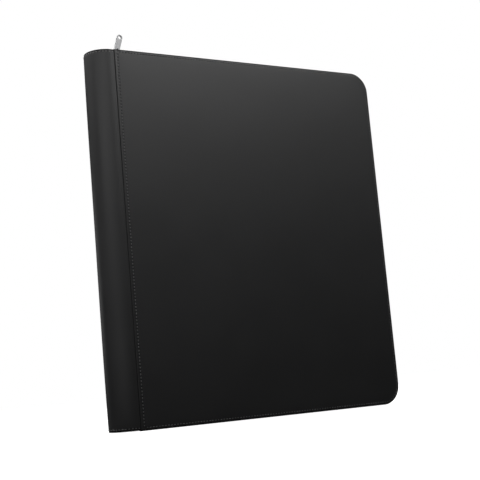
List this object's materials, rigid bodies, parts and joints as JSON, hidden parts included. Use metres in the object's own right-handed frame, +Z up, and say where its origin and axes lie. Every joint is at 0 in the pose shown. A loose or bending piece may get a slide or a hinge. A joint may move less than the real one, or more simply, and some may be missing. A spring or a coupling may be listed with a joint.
{
  "type": "trading card binder",
  "caption": "Zip-round binder with padded faux-leather covers, rounded spine and sewn-in side-loading pocket pages for cards, standing upright.",
  "frame": {"origin": "middle of the footprint on the surface that the binder stands on", "axes": "+X from the spine to the fore edge, +Y from the front cover to the back cover, +Z up along the spine"},
  "size_m": [0.3144, 0.038, 0.3716],
  "materials": {
    "faux_leather": "matte, fine-grained black faux leather",
    "foam": "soft grey padding",
    "board": "grey stiffener board",
    "lining": "smooth black woven lining",
    "thread": "black polyester thread",
    "binding_thread": "waxed natural thread",
    "zip_tape": "black herringbone tape",
    "zip_teeth": "black nylon coil",
    "slider_metal": "satin nickel plate",
    "pull_metal": "brushed nickel plate",
    "binding": "black moulded strip",
    "page": "black backing sheet under clear pocket film"
  },
  "bodies": {
    "spine": {"spine_skin": "faux_leather", "spine_board": "board", "spine_lining": "lining", "spine_filler": "foam", "spine_hem_thread": "thread", "binding_block": "binding", "binding_thread": "binding_thread", "page_margins": "page", "zip_end_tab_top": "faux_leather", "zip_end_tab_bottom": "faux_leather"},
    "front_cover": {"front_skin": "faux_leather", "front_padding": "foam", "front_board": "board", "front_lining": "lining", "front_edge_thread": "thread", "front_seam_thread": "thread", "front_zip_tape": "zip_tape", "front_zip_teeth": "zip_teeth", "front_zip_stops": "slider_metal"},
    "back_cover": {"back_skin": "faux_leather", "back_padding": "foam", "back_board": "board", "back_lining": "lining", "back_edge_thread": "thread", "back_seam_thread": "thread", "back_zip_tape": "zip_tape", "back_zip_teeth": "zip_teeth", "back_zip_stops": "slider_metal"},
    "slider": {"slider_body": "slider_metal", "slider_bail": "slider_metal"},
    "pull_link": {"pull_link": "slider_metal"},
    "pull_tab": {"pull_tab": "pull_metal"},
    "page_01": {"page_01": "page"},
    "page_02": {"page_02": "page"},
    "page_03": {"page_03": "page"},
    "page_04": {"page_04": "page"},
    "page_05": {"page_05": "page"},
    "page_06": {"page_06": "page"},
    "page_07": {"page_07": "page"},
    "page_08": {"page_08": "page"},
    "page_09": {"page_09": "page"},
    "page_10": {"page_10": "page"},
    "page_11": {"page_11": "page"},
    "page_12": {"page_12": "page"},
    "page_13": {"page_13": "page"},
    "page_14": {"page_14": "page"},
    "page_15": {"page_15": "page"},
    "page_16": {"page_16": "page"},
    "page_17": {"page_17": "page"},
    "page_18": {"page_18": "page"},
    "page_19": {"page_19": "page"},
    "page_20": {"page_20": "page"}
  },
  "joints": [
    {"name": "front_cover_hinge", "type": "hinge", "parent": "spine", "child": "front_cover", "pos_m": [-0.1358, -0.019, 0.175], "axis": [0, 0, -1], "range_deg": [0, 90]},
    {"name": "back_cover_hinge", "type": "hinge", "parent": "spine", "child": "back_cover", "pos_m": [-0.1358, 0.019, 0.175], "axis": [0, 0, 1], "range_deg": [0, 90]},
    {"name": "zip_slide", "type": "slide", "parent": "back_cover", "child": "slider", "axis": [1, 0, 0], "range_m": [0, 0.25]},
    {"name": "pull_link_swing", "type": "hinge", "parent": "slider", "child": "pull_link", "pos_m": [-0.126, 0, 0.35105], "axis": [0, 1, 0], "range_deg": [-60, 28]},
    {"name": "pull_tab_swing", "type": "hinge", "parent": "pull_link", "child": "pull_tab", "pos_m": [-0.12442, 0, 0.35642], "axis": [0, 1, 0], "range_deg": [-35, 35]},
    {"name": "page_01_turn", "type": "hinge", "parent": "spine", "child": "page_01", "pos_m": [-0.1308, -0.01235, 0.175], "axis": [0, 0, -1], "range_deg": [0, 60.5]},
    {"name": "page_02_turn", "type": "hinge", "parent": "spine", "child": "page_02", "pos_m": [-0.1308, -0.01105, 0.175], "axis": [0, 0, -1], "range_deg": [0, 54.5]},
    {"name": "page_03_turn", "type": "hinge", "parent": "spine", "child": "page_03", "pos_m": [-0.1308, -0.00975, 0.175], "axis": [0, 0, -1], "range_deg": [0, 48.5]},
    {"name": "page_04_turn", "type": "hinge", "parent": "spine", "child": "page_04", "pos_m": [-0.1308, -0.00845, 0.175], "axis": [0, 0, -1], "range_deg": [0, 42.5]},
    {"name": "page_05_turn", "type": "hinge", "parent": "spine", "child": "page_05", "pos_m": [-0.1308, -0.00715, 0.175], "axis": [0, 0, -1], "range_deg": [0, 36.5]},
    {"name": "page_06_turn", "type": "hinge", "parent": "spine", "child": "page_06", "pos_m": [-0.1308, -0.00585, 0.175], "axis": [0, 0, -1], "range_deg": [0, 30.5]},
    {"name": "page_07_turn", "type": "hinge", "parent": "spine", "child": "page_07", "pos_m": [-0.1308, -0.00455, 0.175], "axis": [0, 0, -1], "range_deg": [0, 24.5]},
    {"name": "page_08_turn", "type": "hinge", "parent": "spine", "child": "page_08", "pos_m": [-0.1308, -0.00325, 0.175], "axis": [0, 0, -1], "range_deg": [0, 18.5]},
    {"name": "page_09_turn", "type": "hinge", "parent": "spine", "child": "page_09", "pos_m": [-0.1308, -0.00195, 0.175], "axis": [0, 0, -1], "range_deg": [0, 12.5]},
    {"name": "page_10_turn", "type": "hinge", "parent": "spine", "child": "page_10", "pos_m": [-0.1308, -0.00065, 0.175], "axis": [0, 0, -1], "range_deg": [0, 6.5]},
    {"name": "page_11_turn", "type": "hinge", "parent": "spine", "child": "page_11", "pos_m": [-0.1308, 0.00065, 0.175], "axis": [0, 0, 1], "range_deg": [0, 6.5]},
    {"name": "page_12_turn", "type": "hinge", "parent": "spine", "child": "page_12", "pos_m": [-0.1308, 0.00195, 0.175], "axis": [0, 0, 1], "range_deg": [0, 12.5]},
    {"name": "page_13_turn", "type": "hinge", "parent": "spine", "child": "page_13", "pos_m": [-0.1308, 0.00325, 0.175], "axis": [0, 0, 1], "range_deg": [0, 18.5]},
    {"name": "page_14_turn", "type": "hinge", "parent": "spine", "child": "page_14", "pos_m": [-0.1308, 0.00455, 0.175], "axis": [0, 0, 1], "range_deg": [0, 24.5]},
    {"name": "page_15_turn", "type": "hinge", "parent": "spine", "child": "page_15", "pos_m": [-0.1308, 0.00585, 0.175], "axis": [0, 0, 1], "range_deg": [0, 30.5]},
    {"name": "page_16_turn", "type": "hinge", "parent": "spine", "child": "page_16", "pos_m": [-0.1308, 0.00715, 0.175], "axis": [0, 0, 1], "range_deg": [0, 36.5]},
    {"name": "page_17_turn", "type": "hinge", "parent": "spine", "child": "page_17", "pos_m": [-0.1308, 0.00845, 0.175], "axis": [0, 0, 1], "range_deg": [0, 42.5]},
    {"name": "page_18_turn", "type": "hinge", "parent": "spine", "child": "page_18", "pos_m": [-0.1308, 0.00975, 0.175], "axis": [0, 0, 1], "range_deg": [0, 48.5]},
    {"name": "page_19_turn", "type": "hinge", "parent": "spine", "child": "page_19", "pos_m": [-0.1308, 0.01105, 0.175], "axis": [0, 0, 1], "range_deg": [0, 54.5]},
    {"name": "page_20_turn", "type": "hinge", "parent": "spine", "child": "page_20", "pos_m": [-0.1308, 0.01235, 0.175], "axis": [0, 0, 1], "range_deg": [0, 60.5]}
  ],
  "couplings": [
    {"joint": "page_01_turn", "follows": "front_cover_hinge", "ratio": 0.6667},
    {"joint": "page_02_turn", "follows": "front_cover_hinge", "ratio": 0.6},
    {"joint": "page_03_turn", "follows": "front_cover_hinge", "ratio": 0.5333},
    {"joint": "page_04_turn", "follows": "front_cover_hinge", "ratio": 0.4667},
    {"joint": "page_05_turn", "follows": "front_cover_hinge", "ratio": 0.4},
    {"joint": "page_06_turn", "follows": "front_cover_hinge", "ratio": 0.3333},
    {"joint": "page_07_turn", "follows": "front_cover_hinge", "ratio": 0.2667},
    {"joint": "page_08_turn", "follows": "front_cover_hinge", "ratio": 0.2},
    {"joint": "page_09_turn", "follows": "front_cover_hinge", "ratio": 0.1333},
    {"joint": "page_10_turn", "follows": "front_cover_hinge", "ratio": 0.0667},
    {"joint": "page_11_turn", "follows": "back_cover_hinge", "ratio": 0.0667},
    {"joint": "page_12_turn", "follows": "back_cover_hinge", "ratio": 0.1333},
    {"joint": "page_13_turn", "follows": "back_cover_hinge", "ratio": 0.2},
    {"joint": "page_14_turn", "follows": "back_cover_hinge", "ratio": 0.2667},
    {"joint": "page_15_turn", "follows": "back_cover_hinge", "ratio": 0.3333},
    {"joint": "page_16_turn", "follows": "back_cover_hinge", "ratio": 0.4},
    {"joint": "page_17_turn", "follows": "back_cover_hinge", "ratio": 0.4667},
    {"joint": "page_18_turn", "follows": "back_cover_hinge", "ratio": 0.5333},
    {"joint": "page_19_turn", "follows": "back_cover_hinge", "ratio": 0.6},
    {"joint": "page_20_turn", "follows": "back_cover_hinge", "ratio": 0.6667}
  ]
}
